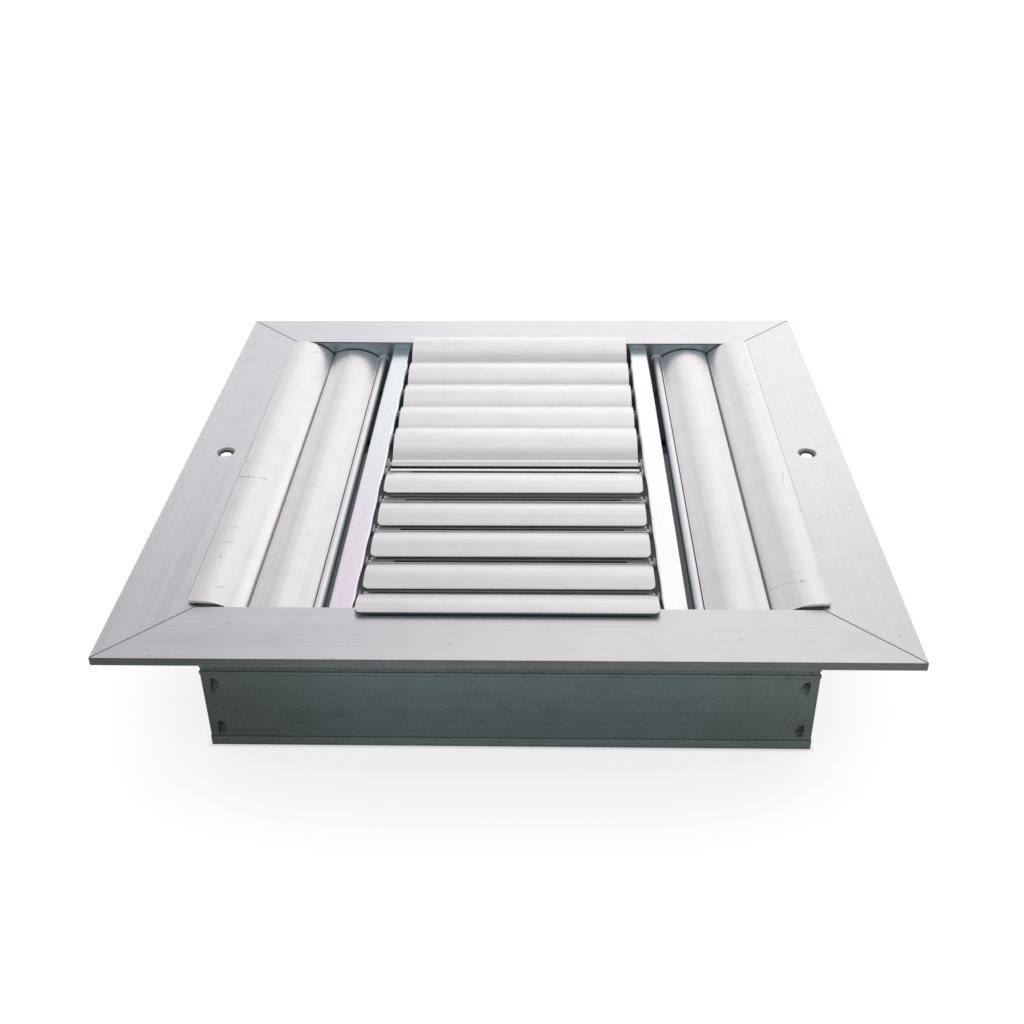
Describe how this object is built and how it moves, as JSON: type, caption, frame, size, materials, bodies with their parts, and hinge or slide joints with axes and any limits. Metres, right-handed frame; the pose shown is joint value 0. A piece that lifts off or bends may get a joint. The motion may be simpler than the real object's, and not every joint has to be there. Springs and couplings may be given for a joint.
{
  "type": "ceiling air outlet",
  "caption": "Square four-way ceiling air outlet of bare aluminium: a mitred flange and neck with curved blades that tilt one by one to turn the air to each side.",
  "frame": {"origin": "centre of the neck's lower rim, on which the outlet lies face up", "axes": "+Z out of the face, which points down into the room once fitted; +X to the right and +Y to the back of the picture, the divider bars along Y"},
  "size_m": [0.25, 0.25, 0.0587],
  "materials": {
    "frame_aluminium": "bare extruded aluminium with fine die lines along each side",
    "blade_aluminium": "bare extruded aluminium, satin, with scuffs",
    "divider_aluminium": "bright extruded aluminium",
    "angle_aluminium": "mill finish",
    "pin_steel": "bright drawn steel",
    "screw_steel": "zinc plated",
    "bush_nylon": "natural nylon"
  },
  "bodies": {
    "frame": {"frame_front": "frame_aluminium", "frame_right": "frame_aluminium", "frame_back": "frame_aluminium", "frame_left": "frame_aluminium", "corner_angle_front_left": "angle_aluminium", "corner_angle_front_right": "angle_aluminium", "corner_angle_back_right": "angle_aluminium", "corner_angle_back_left": "angle_aluminium", "divider_left": "divider_aluminium", "divider_right": "divider_aluminium", "divider_screws": "screw_steel", "pivot_bushes": "bush_nylon"},
    "back_1": {"blade_back_1": "blade_aluminium", "pivot_pins_back_1": "pin_steel"},
    "back_2": {"blade_back_2": "blade_aluminium", "pivot_pins_back_2": "pin_steel"},
    "back_3": {"blade_back_3": "blade_aluminium", "pivot_pins_back_3": "pin_steel"},
    "back_4": {"blade_back_4": "blade_aluminium", "pivot_pins_back_4": "pin_steel"},
    "back_5": {"blade_back_5": "blade_aluminium", "pivot_pins_back_5": "pin_steel"},
    "front_1": {"blade_front_1": "blade_aluminium", "pivot_pins_front_1": "pin_steel"},
    "front_2": {"blade_front_2": "blade_aluminium", "pivot_pins_front_2": "pin_steel"},
    "front_3": {"blade_front_3": "blade_aluminium", "pivot_pins_front_3": "pin_steel"},
    "front_4": {"blade_front_4": "blade_aluminium", "pivot_pins_front_4": "pin_steel"},
    "front_5": {"blade_front_5": "blade_aluminium", "pivot_pins_front_5": "pin_steel"},
    "left_1": {"blade_left_1": "blade_aluminium", "pivot_pins_left_1": "pin_steel"},
    "left_2": {"blade_left_2": "blade_aluminium", "pivot_pins_left_2": "pin_steel"},
    "right_1": {"blade_right_1": "blade_aluminium", "pivot_pins_right_1": "pin_steel"},
    "right_2": {"blade_right_2": "blade_aluminium", "pivot_pins_right_2": "pin_steel"}
  },
  "joints": [
    {"name": "back_1_tilt", "type": "hinge", "parent": "frame", "child": "back_1", "pos_m": [0, 0.0035, 0.0492], "axis": [1, 0, 0], "range_deg": [0, 60]},
    {"name": "back_2_tilt", "type": "hinge", "parent": "frame", "child": "back_2", "pos_m": [0, 0.0235, 0.0492], "axis": [1, 0, 0], "range_deg": [0, 25]},
    {"name": "back_3_tilt", "type": "hinge", "parent": "frame", "child": "back_3", "pos_m": [0, 0.0435, 0.0492], "axis": [1, 0, 0], "range_deg": [0, 25]},
    {"name": "back_4_tilt", "type": "hinge", "parent": "frame", "child": "back_4", "pos_m": [0, 0.0635, 0.0492], "axis": [1, 0, 0], "range_deg": [0, 25]},
    {"name": "back_5_tilt", "type": "hinge", "parent": "frame", "child": "back_5", "pos_m": [0, 0.0835, 0.0492], "axis": [1, 0, 0], "range_deg": [0, 20]},
    {"name": "front_1_tilt", "type": "hinge", "parent": "frame", "child": "front_1", "pos_m": [0, -0.0035, 0.0492], "axis": [-1, 0, 0], "range_deg": [0, 60]},
    {"name": "front_2_tilt", "type": "hinge", "parent": "frame", "child": "front_2", "pos_m": [0, -0.0235, 0.0492], "axis": [-1, 0, 0], "range_deg": [0, 25]},
    {"name": "front_3_tilt", "type": "hinge", "parent": "frame", "child": "front_3", "pos_m": [0, -0.0435, 0.0492], "axis": [-1, 0, 0], "range_deg": [0, 25]},
    {"name": "front_4_tilt", "type": "hinge", "parent": "frame", "child": "front_4", "pos_m": [0, -0.0635, 0.0492], "axis": [-1, 0, 0], "range_deg": [0, 25]},
    {"name": "front_5_tilt", "type": "hinge", "parent": "frame", "child": "front_5", "pos_m": [0, -0.0835, 0.0492], "axis": [-1, 0, 0], "range_deg": [0, 20]},
    {"name": "left_1_tilt", "type": "hinge", "parent": "frame", "child": "left_1", "pos_m": [-0.062, 0, 0.0492], "axis": [0, 1, 0], "range_deg": [0, 60]},
    {"name": "left_2_tilt", "type": "hinge", "parent": "frame", "child": "left_2", "pos_m": [-0.082, 0, 0.0492], "axis": [0, 1, 0], "range_deg": [0, 10]},
    {"name": "right_1_tilt", "type": "hinge", "parent": "frame", "child": "right_1", "pos_m": [0.062, 0, 0.0492], "axis": [0, -1, 0], "range_deg": [0, 60]},
    {"name": "right_2_tilt", "type": "hinge", "parent": "frame", "child": "right_2", "pos_m": [0.082, 0, 0.0492], "axis": [0, -1, 0], "range_deg": [0, 10]}
  ]
}
